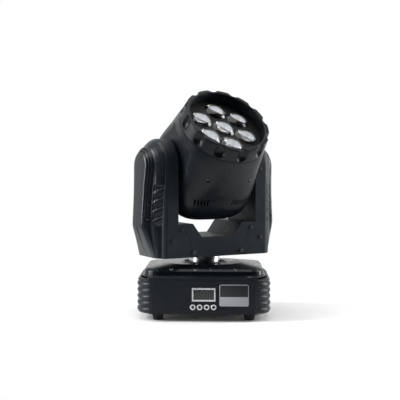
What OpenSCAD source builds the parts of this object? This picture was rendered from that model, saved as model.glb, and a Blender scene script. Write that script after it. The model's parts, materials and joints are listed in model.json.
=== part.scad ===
// Moving head light: a base with display and sockets, a yoke that pans on it and a head that tilts in the yoke.
// Millimetres, +Z up, the display looks towards -Y. The origin is on the pan axis, on the base's underside.

/* [Rest position] */
// Pan of the yoke about the vertical axis
pan_rest = 30; // [25:1:35]
// Height angle of the beam above level
beam_rest = 44.6; // [40:0.2:50]

/* [Base] */
// Width of the base over its ribs
base_w = 186; // [185:1:188]
// Depth of the base from display side to socket side
base_d = 150; // [149:1:152]
// Height of the ribbed body
body_h = 50; // [49.5:0.5:50.5]
// Radius of the upright corners
corner_r = 30; // [28:1:32]
// Number of ribs round the body
rib_count = 6; // [5:1:6]
// Distance from rib to rib
rib_pitch = 8.7; // [8.6:0.1:8.7]
// How far a rib stands out
rib_depth = 1.9; // [1.5:0.1:2.2]
// Width of the raised deck
deck_w = 168; // [164:1:170]
// Depth of the raised deck
deck_d = 126; // [124:1:130]
// Height of the deck
deck_z = 60; // [59.5:0.5:60.5]
// Height of the rim round the neck
crown_z = 65; // [64.5:0.5:65.5]
// Radius of the dish round the neck
dish_r = 30; // [29:0.5:31]
// Height of the rubber feet
foot_h = 10.5; // [9:0.5:12]
// Distance from the middle to a foot, left and right
foot_x = 63.2; // [60:0.2:66]
// Distance from the middle to a foot, front and back
foot_y = 55; // [52:1:56]

/* [Base mounts] */
// Spacing of the bracket holes, left to right
bracket_x = 106; // [104:1:108]
// Spacing of the bracket holes, front to back
bracket_y = 60; // [58:1:62]
// Radius of the bracket holes
bracket_r = 2.6; // [2.5:0.1:3.2]
// Radius of the two holes for a safety rope
rope_r = 6; // [5:0.5:7]

/* [Front panel] */
// Width of the panel
panel_w = 138.4; // [137:0.2:139]
// Height of the panel
panel_h = 46.5; // [46:0.5:47]
// Number of push buttons
button_count = 4; // [4:1:4]
// Distance from button to button
button_pitch = 9.5; // [9.3:0.1:9.8]
// Radius of a button
button_r = 1.9; // [1.7:0.1:2]

/* [Pan drive] */
// Radius of the polished neck
neck_r = 22; // [21.5:0.1:22.2]
// Radius of the pan shaft in its bearing
pan_shaft_r = 15; // [14:0.5:15]
// Teeth on the pulley on the pan shaft
pan_teeth = 80; // [80:1:80]
// Teeth on a motor's pulley
pinion_teeth = 16; // [16:1:16]
// Distance from the pan axis to the motor shaft
pan_motor_x = 58; // [57:0.5:60]

/* [Yoke] */
// Clear width between the arms
yoke_gap = 124.8; // [124:0.2:126]
// Depth of the yoke, front to back
yoke_d = 78; // [77:0.5:79]
// Height of the yoke's underside
yoke_z = 75.5; // [75:0.5:77]
// Height of the crossbar's top
cross_z = 122.2; // [121:0.2:123]
// Height of the floor of the notch
notch_z = 103.5; // [102:0.5:105]
// Height of the tilt axis
tilt_z = 200.9; // [200:0.1:202]
// Overall width over the arm covers
yoke_w = 216; // [215:0.5:217]
// Wall thickness of the mouldings
wall = 2.5; // [2.3:0.1:2.6]

/* [Tilt drive] */
// Radius of the trunnions that carry the head
trunnion_r = 8; // [7.5:0.5:8]
// Teeth on the pulley on the left trunnion
tilt_teeth = 64; // [64:1:64]
// Height of the tilt motor's shaft
tilt_motor_z = 118; // [116:1:120]

/* [Head] */
// Radius of the front rim
barrel_r = 61.5; // [61:0.1:61.8]
// Distance from the tilt axis to the front rim
rim_v = 92; // [91:0.2:93]
// Distance from the tilt axis to the rear face
rear_v = 57; // [56:0.5:58]
// Distance from the head's middle to a flat cheek
cheek_u = 57.5; // [57:0.1:57.8]
// Half height of the head's body at its highest
body_w = 69.5; // [69:0.5:70]
// Number of finger scoops round the bezel
scoop_count = 12; // [10:1:12]
// Radius of a lens
lens_r = 15; // [14:0.2:15.4]
// Distance from the middle lens to an outer lens
lens_ring = 33.5; // [33:0.1:35]

/* [Hidden] */
$fn = 64;

casing = "#23272d";
casing_light = "#343a42";
steel = "#b4b8bc";
dark_metal = "#3c4046";
rubber = "#15161a";
board = "#1f6b45";

// Base
skin = 3;
front_y = -base_d / 2;
flat_x = 74;
panel_t = 2.4;
panel_face_y = front_y - 0.4;
panel_z = 0.5;
floor_t = 2;
button_z = 9.9;
button_mid_x = -0.4;
button_travel = 0.5;
display_x = 0.35;
display_z = 27.1;
display_w = 32.1;
display_h = 18.4;
window_w = 28.2;
window_h = 13.5;
label_x = 41.7;
label_z = 26.2;
label_w = 40;
label_h = 29.7;
socket_z = 24;
inlet_x = 38;
fuse_x = 3;
dmx_in_x = -20;
dmx_out_x = -50;
xlr_body_r = 11.8;
xlr_depth = 15;
ledge_h = 1.6;
ledge_drop = 5.5;
ledge_in = 7;
deck_screw_z = deck_z - 2;
deck_screw_spots = [for (x = [-44.8, -11.1, 11.1, 44.8], y = [-1, 1]) [x, y * (deck_d / 2 - 4.5)]];
floor_screw_spots = [for (x = [-72, 0, 72], y = [-1, 1]) [x, y * 62]];
foot_spots = [for (x = [-1, 1], y = [-1, 1]) [x * foot_x, y * foot_y]];
screw_r = 1.4;
screw_head_r = 2.6;
screw_head_h = 1.6;

// Pan drive
tooth_pitch_r = 0.3125;
pan_pulley_r = pan_teeth * tooth_pitch_r;
pinion_r = pinion_teeth * tooth_pitch_r;
pulley_z = 30;
pulley_h = 8;
pulley_flange = 1.2;
belt_gap = 0.35;
belt_t = 1.3;
bearing_z = 40;
bearing_h = 7;
bearing_r = pan_shaft_r + 6;
run_gap = 0.05;
neck_foot_z = bearing_z + bearing_h + 0.1;
motor_w = 42;
motor_h = 26;
wire_r = 9;

// Yoke
arm_in = yoke_gap / 2;
arm_half = yoke_d / 2;
arm_out = yoke_w / 2;
frame_t = 2;
frame_z = yoke_z + wall + 0.3;
upright_x = arm_in + wall + 0.1;
seam = [[85.3, 0], [85.3, 43], [83.1, 94], [80.1, 148], [80.1, 170]];
arm_corner = 6.5;
arm_corner_x = 78.8;
foot_seam = [[41.8, 0], [42.1, 13.6], [45.4, 26.4], [52.9, 37.7]];
notch_top_x = 39.6;
notch_floor_x = 26;
// Slices of an arm cover round the tilt axis and at its waist: distance from the middle, half depth
cover_top = [[78, 38.6], [87.5, 32.8], [96, 25.5]];
cover_waist = [[84, 34], [90, 30.5], [100, 22.5]];
boss_top = [[94, 22.5], [99, 21], [103.6, 18.5]];
boss_waist = [[97, 23], [104, 21], [arm_out, 17.5]];
cover_foot = [[84, 34], [89, 31], [91.5, 26.5]];
slice_t = 0.5;
waist_z = 119;
hub_r = 27;
tilt_bearing_r = 14;
tilt_belt_x = arm_in + 24.1;
tilt_pulley_h = 6;
tilt_pulley_r = tilt_teeth * tooth_pitch_r;
tilt_motor_w = 35;
tilt_motor_h = 18.5;
plate_screw_spots = [for (s = [-1, 1]) each [[s * 70.5, 99.5], [s * 70.5, 198.5]]];
cover_screw_spots = [[97.2, 168], [99.2, 149], [100.4, 129]];
cover_screw_y = 21.4;
small_screw_r = 1.7;
seam_screw_spots = [for (s = [-1, 1]) each [[s * 55.8, 115], [s * 38.5, 82.5]]];

// Head
shell_v = 72;
bezel_r = barrel_r + 2.5;
split_v = 8;
cheek_v = 57.5;
side_u = 60.5;
// Slices of the head's body: place along the beam, half width, half height, squareness
head_slices = [[rim_v, barrel_r, barrel_r, 2], [shell_v, bezel_r, bezel_r, 2], [38, side_u, body_w - 4, 3], [0, side_u, body_w - 2, 4.6],
    [-20, side_u - 0.5, body_w, 4.8], [-38, side_u - 3, body_w - 3, 4], [-48, side_u - 10, body_w - 11, 3.4],
    [-rear_v, side_u - 22, body_w - 27, 2.8]];
scoop_r = 9.5;
plate_v = 74;
lens_plate_t = 2.5;
rim_bore = 55;
lens_v = plate_v + lens_plate_t;
lens_spots = concat([[0, 0]], [for (a = [30 : 60 : 330]) [lens_ring * cos(a), lens_ring * sin(a)]]);
ear_u = 47;
ear_t = 3;
trunnion_flange_r = 16;
board_v = 45.5;
sink_r = 50;
fan_w = 80;
fan_v = -26;
fan_h = 15;
fan_bore = 38;
head_screw_v = 36;
head_screw_u = 33;
head_screw_w = body_w - 10;
vent_u = 30;
vent_v = -3;

module in_yoke() {
    rotate([0, 0, pan_rest]) children();
}

// In the head's own frame +Z is the beam, X is the tilt axis and the origin is on the tilt axis
module in_head() {
    in_yoke() translate([0, 0, tilt_z]) rotate([90 - beam_rest, 0, 0]) children();
}

// side is -1 for the left and 1 for the right
module on_side(side) {
    mirror([side < 0 ? 1 : 0, 0, 0]) children();
}

module front_and_back() {
    children();
    mirror([0, 1, 0]) children();
}

module rounded_plate(w, d, r, h) {
    translate([-w / 2 + r, -d / 2, 0]) cube([w - 2 * r, d, h]);
    translate([-w / 2, -d / 2 + r, 0]) cube([w, d - 2 * r, h]);
    for (x = [-1, 1], y = [-1, 1])
        translate([x * (w / 2 - r), y * (d / 2 - r), 0]) cylinder(r = r, h = h);
}

// Four posts whose hull is a rounded plate
module plate_posts(w, d, r, z, h) {
    for (x = [-1, 1], y = [-1, 1])
        translate([x * (w / 2 - r), y * (d / 2 - r), z]) cylinder(r = r, h = h, $fn = 40);
}

module along_x(x) {
    translate([x, 0, 0]) rotate([0, 90, 0]) children();
}

// Turns an outline drawn in width and height into an upright plate whose front face is at y
module upright_plate(y, t) {
    translate([0, y + t, 0]) rotate([90, 0, 0]) linear_extrude(t) children();
}

// A pan-head screw, its head on the plane z = 0 and its shank below
module screw(shank) {
    difference() {
        cylinder(r = screw_head_r, h = screw_head_h, $fn = 32);
        for (a = [0, 90])
            rotate([0, 0, a]) translate([-1.7, -0.35, 0.8]) cube([3.4, 0.7, 2]);
    }
    translate([0, 0, -shank]) cylinder(r = screw_r, h = shank + 0.2, $fn = 24);
}

module toothed_pulley(teeth, h, bore, flange) {
    r = teeth * tooth_pitch_r;
    difference() {
        union() {
            linear_extrude(h)
                polygon([for (i = [0 : 2 * teeth - 1]) let (a = i * 180 / teeth, q = r - 0.7 * (i % 2))
                    [q * cos(a), q * sin(a)]]);
            cylinder(r = r + flange, h = 0.9);
            translate([0, 0, h - 0.9]) cylinder(r = r + flange, h = 0.9);
        }
        if (bore > 0)
            translate([0, 0, -1]) cylinder(r = bore, h = h + 2);
    }
}

// A flat belt round two pulleys, the second one at distance x
module belt_loop(r1, r2, x, h) {
    linear_extrude(h) difference() {
        hull() {
            circle(r = r1 + belt_gap + belt_t);
            translate([x, 0]) circle(r = r2 + belt_gap + belt_t);
        }
        hull() {
            circle(r = r1 + belt_gap);
            translate([x, 0]) circle(r = r2 + belt_gap);
        }
    }
}

// ---- Base ----

// Outline of the ribbed wall, x outwards from a corner's centre and y up
module rib_profile(reach) {
    intersection() {
        union() {
            square([reach - rib_depth, body_h]);
            for (k = [0 : rib_count - 1])
                translate([reach - rib_pitch / 2, rib_pitch * (k + 0.5)]) circle(r = rib_pitch / 2);
        }
        polygon([[0, 0], [reach + 1, 0], [reach + 1, body_h - ledge_drop - 0.7], [reach - ledge_in, body_h], [0, body_h]]);
    }
}

module ribbed_block() {
    cx = base_w / 2 - corner_r;
    cy = base_d / 2 - corner_r;
    for (x = [0, 1], y = [0, 1])
        mirror([x, 0, 0]) mirror([0, y, 0]) translate([cx, cy, 0])
            rotate_extrude(angle = 90) rib_profile(corner_r);
    for (s = [0, 1])
        mirror([s, 0, 0]) translate([cx, cy, 0]) rotate([90, 0, 0])
            linear_extrude(2 * cy) rib_profile(corner_r);
    translate([-cx, -base_d / 2, 0]) cube([2 * cx, base_d, body_h]);
    translate([-flat_x, -base_d / 2, 0]) cube([2 * flat_x, base_d, body_h]);
}

module base_body() {
    color(casing) difference() {
        ribbed_block();
        translate([0, 0, -1])
            rounded_plate(base_w - 10, base_d - 7, corner_r - 4, body_h + 2);
        front_and_back() {
            translate([-panel_w / 2 - 0.2, front_y - 1, panel_z - 0.2])
                cube([panel_w + 0.4, 1 + panel_t - 0.4, panel_h + 0.4]);
            translate([-panel_w / 2 + 5, front_y - 1, 5])
                cube([panel_w - 10, 10, panel_h - 9]);
        }
    }
}

// Outer form of the top cover: a ledge on the body's wall, a steep deck and a low crown
module deck_form() {
    plate_posts_hull([[base_w - 2 * ledge_in, base_d, corner_r, body_h],
        [base_w - 2 * ledge_in - 2, base_d - 4, corner_r - 1, body_h + ledge_h]]);
    plate_posts_hull([[deck_w, deck_d, 24, body_h + 0.4], [deck_w - 1, deck_d - 1, 24, deck_z - 3.4],
        [deck_w - 6, deck_d - 6, 22, deck_z - 0.4], [deck_w - 66, deck_d - 46, 28, crown_z - 1]]);
}

// Hull over level plates, each with its width, depth, corner radius and height
module plate_posts_hull(plates) {
    hull() for (p = plates)
        plate_posts(p[0], p[1], p[2], p[3], 0.4);
}

module base_top_cover() {
    color(casing) difference() {
        union() {
            difference() {
                deck_form();
                plate_posts_hull([[deck_w - 6, deck_d - 6, 21, body_h - 0.1], [deck_w - 8, deck_d - 8, 21, deck_z - 6],
                    [deck_w - 14, deck_d - 14, 21, deck_z - skin - 0.4]]);
            }
            translate([0, 0, body_h + 0.5]) cylinder(r = dish_r + skin, h = crown_z - body_h - 0.5);
        }
        translate([0, 0, body_h + skin]) cylinder(r = dish_r, h = 20);
        translate([0, 0, body_h - 1]) cylinder(r = neck_r + 0.8, h = 10);
        for (s = deck_screw_spots)
            translate([s.x, s.y, body_h]) {
                cylinder(r = screw_r + 0.1, h = 20);
                translate([0, 0, deck_screw_z - body_h]) cylinder(r = screw_head_r + 0.4, h = 9);
            }
    }
}

module floor_plate() {
    color(dark_metal) difference() {
        union() {
            rounded_plate(base_w - 10.4, base_d - 7.4, corner_r - 4.2, floor_t);
            for (x = [-1, 1], y = [-1, 1])
                translate([x * bracket_x / 2, y * bracket_y / 2, 0]) cylinder(r = 6, h = 6);
        }
        for (x = [-1, 1], y = [-1, 1])
            translate([x * bracket_x / 2, y * bracket_y / 2, -1]) cylinder(r = bracket_r, h = 8);
        for (x = [-16, 16])
            translate([x, -46, -1]) cylinder(r = rope_r, h = 4);
        for (s = concat(floor_screw_spots, foot_spots))
            translate([s.x, s.y, -1]) cylinder(r = screw_r + 0.1, h = 4);
    }
}

module rubber_feet() {
    color(rubber) for (s = foot_spots)
        translate([s.x, s.y, -foot_h]) difference() {
            cylinder(r1 = 7, r2 = 8.2, h = foot_h);
            translate([0, 0, -1]) cylinder(r = 3.4, h = 6);
            cylinder(r = screw_r + 0.1, h = foot_h + 1);
        }
}

module base_screws() {
    color(steel) {
        for (s = deck_screw_spots)
            translate([s.x, s.y, deck_screw_z]) screw(5);
        for (s = floor_screw_spots)
            translate([s.x, s.y, 0]) mirror([0, 0, 1]) screw(4);
        for (s = foot_spots)
            translate([s.x, s.y, 5 - foot_h]) mirror([0, 0, 1]) screw(9);
        for (x = [dmx_in_x, dmx_out_x], s = [-1, 1])
            translate([x + s * 9.5, -front_y + 2.4, socket_z + s * 12]) rotate([-90, 0, 0]) screw(5);
        for (s = [-1, 1])
            translate([inlet_x + s * 20, -front_y + 2.9, socket_z]) rotate([-90, 0, 0]) screw(5);
    }
}

module front_panel() {
    color(casing_light) difference() {
        upright_plate(panel_face_y, panel_t)
            translate([-panel_w / 2, panel_z]) square([panel_w, panel_h]);
        upright_plate(panel_face_y - 1, panel_t + 2)
            translate([display_x - display_w / 2 + 1, display_z - display_h / 2 + 1])
                square([display_w - 2, display_h - 2]);
        for (i = [0 : button_count - 1])
            translate([button_x(i), panel_face_y - 1, button_z]) rotate([-90, 0, 0])
                cylinder(r = button_r + 0.2, h = 5);
        translate([-27.9, panel_face_y - 1, 8.1]) rotate([-90, 0, 0]) cylinder(r = 1.2, h = 5);
    }
}

function button_x(i) = button_mid_x + (i - (button_count - 1) / 2) * button_pitch;

module display_frame() {
    color(steel) difference() {
        upright_plate(panel_face_y - 1, 1)
            translate([display_x - display_w / 2, display_z - display_h / 2]) square([display_w, display_h]);
        upright_plate(panel_face_y - 2, 3)
            translate([display_x - window_w / 2, display_z - window_h / 2]) square([window_w, window_h]);
    }
}

module display_window() {
    color("#101214") upright_plate(panel_face_y - 0.4, 8)
        translate([display_x - window_w / 2, display_z - window_h / 2]) square([window_w, window_h]);
}

module button_rings() {
    color("silver") for (i = [0 : button_count - 1])
        translate([button_x(i), panel_face_y - 0.6, button_z]) rotate([-90, 0, 0]) difference() {
            cylinder(r = 3.8, h = 0.6);
            translate([0, 0, -1]) cylinder(r = button_r + 0.2, h = 3);
        }
}

module button(i) {
    color("black") translate([button_x(i), 0, button_z]) rotate([-90, 0, 0]) {
        translate([0, 0, panel_face_y - 1.6]) cylinder(r = button_r, h = 6);
        translate([0, 0, panel_face_y + panel_t + 0.3]) cylinder(r = button_r + 0.8, h = 1);
    }
}

module label_plate() {
    color("#c9ccd0") upright_plate(panel_face_y - 0.3, 0.3)
        translate([label_x - label_w / 2, label_z - label_h / 2]) square([label_w, label_h]);
}

module microphone() {
    color("black") translate([-27.9, panel_face_y + panel_t, 8.1]) rotate([-90, 0, 0]) cylinder(r = 3, h = 5);
}

module rear_panel() {
    color(dark_metal) difference() {
        mirror([0, 1, 0]) upright_plate(panel_face_y, panel_t)
            translate([-panel_w / 2, panel_z]) square([panel_w, panel_h]);
        for (x = [dmx_in_x, dmx_out_x])
            translate([x, 60, socket_z]) rotate([-90, 0, 0]) cylinder(r = xlr_body_r + 0.1, h = 30);
        translate([fuse_x, 60, socket_z]) rotate([-90, 0, 0]) cylinder(r = 6.1, h = 30);
        translate([inlet_x - 14, 60, socket_z - 10.2]) cube([28, 30, 20.4]);
        for (x = [dmx_in_x, dmx_out_x], s = [-1, 1])
            translate([x + s * 9.5, 60, socket_z + s * 12]) rotate([-90, 0, 0])
                cylinder(r = screw_r + 0.1, h = 30);
        for (s = [-1, 1])
            translate([inlet_x + s * 20, 60, socket_z]) rotate([-90, 0, 0]) cylinder(r = screw_r + 0.1, h = 30);
    }
}

module power_inlet() {
    face_y = -panel_face_y;
    color("#1a1b1e") difference() {
        union() {
            translate([inlet_x - 25, face_y, socket_z - 12]) cube([50, 2.5, 24]);
            translate([inlet_x - 13.8, face_y - 20, socket_z - 10]) cube([27.6, 20.5, 20]);
        }
        translate([inlet_x - 12.3, face_y - 16, socket_z - 8.3]) cube([24.6, 20, 16.6]);
        for (s = [-1, 1])
            translate([inlet_x + s * 20, face_y - 1, socket_z]) rotate([-90, 0, 0])
                cylinder(r = screw_r + 0.1, h = 5);
    }
}

module fuse_holder() {
    color("#1a1b1e") translate([fuse_x, -panel_face_y, socket_z]) rotate([-90, 0, 0]) difference() {
        union() {
            translate([0, 0, -25]) cylinder(r = 6, h = 26);
            cylinder(r = 8, h = 2);
            cylinder(r = 6, h = 8);
        }
        translate([-4, -0.6, 7]) cube([8, 1.2, 2]);
    }
}

// Panel part of a round three-pole connector, opening towards +Z
module xlr_body(bore) {
    difference() {
        union() {
            translate([-13, -15.5, 0]) cube([26, 31, 2]);
            translate([0, 0, -20]) cylinder(r = xlr_body_r, h = 20.5);
        }
        translate([0, 0, 2 - xlr_depth]) cylinder(r = bore, h = xlr_depth + 1);
        for (s = [-1, 1])
            translate([s * 9.5, -s * 12, -1]) cylinder(r = screw_r + 0.1, h = 5);
    }
}

module dmx_in_socket() {
    color("#1a1b1e") translate([dmx_in_x, -panel_face_y, socket_z]) rotate([-90, 0, 0]) xlr_body(8.15);
}

module dmx_out_socket() {
    color("#1a1b1e") translate([dmx_out_x, -panel_face_y, socket_z]) rotate([-90, 0, 0]) {
        xlr_body(9.6);
        difference() {
            translate([0, 0, 1.5 - xlr_depth]) cylinder(r = 7.95, h = xlr_depth - 1);
            for (a = [90, 210, 330])
                rotate([0, 0, a]) translate([3.6, 0, -8]) cylinder(r = 1.3, h = 12);
        }
    }
}

module socket_contacts() {
    color("silver") {
        translate([dmx_in_x, -panel_face_y + 2 - xlr_depth, socket_z]) rotate([-90, 0, 0])
            for (a = [90, 210, 330])
                rotate([0, 0, a]) translate([3.6, 0, 0]) cylinder(r = 1.2, h = 12, $fn = 24);
        for (p = [[-8, -2], [-1, 2], [6, -2]])
            translate([inlet_x + p[0], -panel_face_y - 16, socket_z + p[1] - 2]) cube([2, 14.5, 4]);
    }
}

module power_supply() {
    color(steel) translate([-86, -48, 8]) cube([36, 92, 26]);
}

module control_board() {
    color(board) translate([-60, front_y + 13, 4]) cube([120, 1.6, 36]);
    color("black") {
        translate([display_x - 14, front_y + 9, 18]) cube([28, 4, 18]);
        for (i = [0 : button_count - 1])
            translate([button_x(i) - 3, front_y + 8.3, button_z - 3]) cube([6, 4.7, 6]);
    }
}

module pan_bearing_plate() {
    color(steel) difference() {
        union() {
            translate([0, 0, bearing_z + 3]) rounded_plate(96, 96, 8, 3);
            for (x = [-1, 1], y = [-1, 1])
                translate([x * 40, y * 40, floor_t]) cylinder(r = 4, h = bearing_z + 2);
        }
        translate([0, 0, bearing_z]) cylinder(r = bearing_r, h = 10);
    }
}

module pan_bearing() {
    color("silver") translate([0, 0, bearing_z]) difference() {
        cylinder(r = bearing_r, h = bearing_h);
        translate([0, 0, -1]) cylinder(r = pan_shaft_r + run_gap, h = bearing_h + 2);
    }
}

module neck_collar() {
    color("silver") translate([0, 0, body_h + skin]) difference() {
        cylinder(r = neck_r + 4.5, h = 2.5);
        translate([0, 0, -1]) cylinder(r = neck_r + 0.8, h = 5);
    }
}

module pan_motor() {
    color(dark_metal) translate([pan_motor_x, 0, floor_t]) difference() {
        union() {
            translate([-motor_w / 2, -motor_w / 2, 0]) cube([motor_w, motor_w, motor_h]);
            cylinder(r = 11, h = motor_h + 1.2);
        }
        translate([0, 0, 4]) cylinder(r = 2.5 + run_gap, h = motor_h);
    }
}

module pan_belt() {
    color(rubber) translate([0, 0, pulley_z + 1.2])
        belt_loop(pan_pulley_r, pinion_r, pan_motor_x, pulley_h - 2.4);
}

module pan_motor_pulley() {
    color("silver") translate([pan_motor_x, 0, 0]) {
        translate([0, 0, pulley_z]) toothed_pulley(pinion_teeth, pulley_h, 0, pulley_flange);
        translate([0, 0, 8]) cylinder(r = 2.5, h = pulley_z - 7);
    }
}

// ---- Yoke ----

module pan_shaft() {
    color("silver") difference() {
        union() {
            translate([0, 0, pulley_z - 3]) cylinder(r = pan_shaft_r, h = frame_z + 6 - pulley_z);
            translate([0, 0, neck_foot_z]) cylinder(r = neck_r, h = frame_z - neck_foot_z);
        }
        cylinder(r = wire_r, h = 200);
    }
}

module pan_pulley() {
    color("silver") translate([0, 0, pulley_z])
        toothed_pulley(pan_teeth, pulley_h, pan_shaft_r, pulley_flange);
}

module yoke_frame() {
    in_yoke() color(steel) difference() {
        union() {
            translate([-upright_x - frame_t, -33, frame_z]) cube([2 * (upright_x + frame_t), 66, frame_t]);
            for (side = [-1, 1])
                on_side(side) {
                    translate([upright_x, -25, frame_z]) cube([frame_t, 50, tilt_z - frame_z]);
                    translate([0, 0, tilt_z]) along_x(upright_x) cylinder(r = 25, h = frame_t);
                }
        }
        translate([0, 0, frame_z - 1]) cylinder(r = pan_shaft_r, h = frame_t + 2);
        translate([0, 0, tilt_z]) along_x(-100) cylinder(r = tilt_bearing_r, h = 200);
    }
}

module crossbar_outline() {
    polygon([for (s = [1, -1]) each let (p = concat([for (q = foot_seam) [q.x - 0.3, yoke_z + q.y]],
        [[arm_in - 0.3, cross_z], [notch_top_x, cross_z], [notch_floor_x, notch_z]]))
        s > 0 ? p : [for (i = [len(p) - 1 : -1 : 0]) [-p[i].x, p[i].y]]]);
}

module crossbar_cover() {
    difference() {
        union() {
            upright_plate(-arm_half, wall) crossbar_outline();
            translate([-arm_in + 0.2, -arm_half + wall, yoke_z]) cube([2 * arm_in - 0.4, arm_half - wall - 0.1, wall]);
        }
        translate([0, 0, yoke_z - 1]) cylinder(r = neck_r + 0.3, h = wall + 2);
        plate_screw_holes();
    }
}

module crossbar_front_cover() {
    color(casing_light) in_yoke() crossbar_cover();
}

module crossbar_rear_cover() {
    color(casing_light) in_yoke() mirror([0, 1, 0]) crossbar_cover();
}

module crossbar_tray() {
    top = [[arm_in - 0.2, cross_z], [notch_top_x, cross_z], [notch_floor_x, notch_z]];
    low = [[arm_in - 0.2, cross_z - wall], [notch_top_x + 1.4, cross_z - wall], [notch_floor_x + 1.3, notch_z - wall]];
    flip_top = [for (i = [2 : -1 : 0]) [-top[i].x, top[i].y]];
    flip_low = [for (i = [0 : 2]) [-low[i].x, low[i].y]];
    back_low = [for (i = [2 : -1 : 0]) low[i]];
    color(casing) in_yoke() upright_plate(-arm_half + wall, 2 * (arm_half - wall))
        polygon(concat(top, flip_top, flip_low, back_low));
}

// Block with the arm's side outline: straight sides and a round top about the tilt axis
module arm_block(half, x1, x2, z1) {
    translate([x1, -half, z1]) cube([x2 - x1, 2 * half, tilt_z - z1]);
    translate([0, 0, tilt_z]) along_x(x1) cylinder(r = half, h = x2 - x1);
}

// Everything between the middle and the seam where the arm's frame meets its cover
module inside_seam(gap) {
    pts = [for (p = seam) [p.x + gap, yoke_z + p.y]];
    upright_plate(-arm_half - 1, yoke_d + 2)
        polygon(concat([[0, yoke_z - 1], [pts[0].x, yoke_z - 1]], pts, [[0, pts[len(pts) - 1].y]]));
}

// Solid form of an arm: straight sides, a round top and rounded outer corners, drawn inset by a distance
module arm_form(inset) {
    hull() for (a = [0 : 22.5 : 90]) {
        x = arm_corner_x + (arm_corner - inset) * sin(a);
        half = arm_half - arm_corner + (arm_corner - inset) * cos(a);
        arm_block(half, arm_in + inset, x, yoke_z + inset);
    }
}

module arm_frame() {
    difference() {
        union() {
            intersection() {
                arm_form(0);
                inside_seam(0);
            }
            front_and_back()
                upright_plate(-arm_half, wall)
                    polygon(concat([for (q = foot_seam) [q.x, yoke_z + q.y]], [[arm_in, cross_z], [arm_in + 1, cross_z],
                        [arm_in + 1, yoke_z]]));
        }
        arm_form(wall);
        arm_block(arm_half - arm_corner, arm_in + wall, arm_out, yoke_z + wall);
        translate([arm_in - 1, -33.5, yoke_z + wall]) cube([wall + 2, 67, 20]);
        translate([0, 0, tilt_z]) along_x(arm_in - 1) cylinder(r = trunnion_r + 2, h = 10);
        plate_screw_holes();
    }
}

module plate_screw_holes() {
    front_and_back() for (s = concat(plate_screw_spots, seam_screw_spots))
        translate([s.x, -arm_half - 1, s.y]) rotate([-90, 0, 0]) cylinder(r = screw_r + 0.1, h = 5);
}

module left_arm_frame() {
    color(casing_light) in_yoke() on_side(-1) arm_frame();
}

module right_arm_frame() {
    color(casing_light) in_yoke() on_side(1) arm_frame();
}

// Form of a cover between the round top and the waist, from slices drawn inset by a distance
module cover_form(top, waist, inset) {
    hull() {
        for (s = top)
            translate([0, 0, tilt_z]) along_x(s[0] - inset - slice_t) cylinder(r = s[1] - inset, h = slice_t, $fn = 48);
        for (s = waist)
            cover_strip(s, waist_z, inset);
    }
}

// Thin level strip through a slice of the cover at height z
module cover_strip(s, z, inset) {
    translate([s[0] - inset - slice_t, inset - s[1], z]) cube([slice_t, 2 * (s[1] - inset), slice_t]);
}

// Form of a whole cover: the shoulder, the raised boss on it and the foot that tapers below the waist
module cover_block(inset) {
    cover_form(cover_top, cover_waist, inset);
    cover_form(boss_top, boss_waist, inset);
    hull() {
        for (s = concat(cover_waist, boss_waist))
            cover_strip(s, waist_z, inset);
        for (s = cover_foot)
            cover_strip(s, yoke_z + inset, inset);
    }
}

module arm_cover() {
    difference() {
        cover_block(0);
        cover_block(wall);
        inside_seam(0.15);
        translate([0, -100, yoke_z - 10]) cube([arm_in + 15, 200, 200]);
        front_and_back() for (s = cover_screw_spots)
            translate([s[0], -cover_screw_y, s[1]]) rotate([90, 0, 0]) {
                cylinder(r = small_screw_r + 0.2, h = 5);
                cylinder(r = 1.1, h = 10, center = true);
            }
    }
}

module left_arm_cover() {
    color(casing) in_yoke() on_side(-1) arm_cover();
}

module right_arm_cover() {
    color(casing) in_yoke() on_side(1) arm_cover();
}

module hub_rings() {
    color(casing) in_yoke() for (side = [-1, 1])
        on_side(side) translate([0, 0, tilt_z]) along_x(cheek_u + 0.6) difference() {
            cylinder(r = hub_r, h = arm_in - cheek_u - 0.6);
            translate([0, 0, -1]) cylinder(r = hub_r - 7, h = 10);
        }
}

module yoke_screws() {
    color("silver") in_yoke() front_and_back() for (s = concat(plate_screw_spots, seam_screw_spots))
        translate([s.x, -arm_half, s.y]) rotate([90, 0, 0]) screw(wall + 1.5);
    color("silver") in_yoke() for (side = [-1, 1])
        on_side(side) front_and_back() for (s = cover_screw_spots)
            translate([s[0], -cover_screw_y, s[1]]) rotate([90, 0, 0]) {
                cylinder(r = small_screw_r, h = 1.2);
                translate([0, 0, -3]) cylinder(r = 1, h = 3.2);
            }
}

module tilt_motor() {
    color(dark_metal) in_yoke() on_side(-1) translate([0, 0, tilt_motor_z]) difference() {
        translate([upright_x + frame_t, -tilt_motor_w / 2, -tilt_motor_w / 2])
            cube([tilt_motor_h, tilt_motor_w, tilt_motor_w]);
        along_x(upright_x + frame_t + 4) cylinder(r = 2.5 + run_gap, h = tilt_motor_h);
    }
}

module tilt_belt() {
    color(rubber) in_yoke() on_side(-1) translate([0, 0, tilt_z]) along_x(tilt_belt_x + 1.1)
        belt_loop(tilt_pulley_r, pinion_r, tilt_z - tilt_motor_z, tilt_pulley_h - 2.2);
}

module tilt_bearings() {
    color("silver") in_yoke() for (side = [-1, 1])
        on_side(side) translate([0, 0, tilt_z]) along_x(upright_x) difference() {
            cylinder(r = tilt_bearing_r, h = 6);
            translate([0, 0, -1]) cylinder(r = trunnion_r + run_gap, h = 8);
        }
}

module driver_board() {
    in_yoke() {
        color(board) translate([upright_x + 6, -28, yoke_z + 14]) cube([1.6, 56, 84]);
        color("black") for (z = [10, 34, 58])
            translate([upright_x + 7.6, -14, yoke_z + 14 + z]) cube([6, 28, 14]);
    }
}

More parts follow.
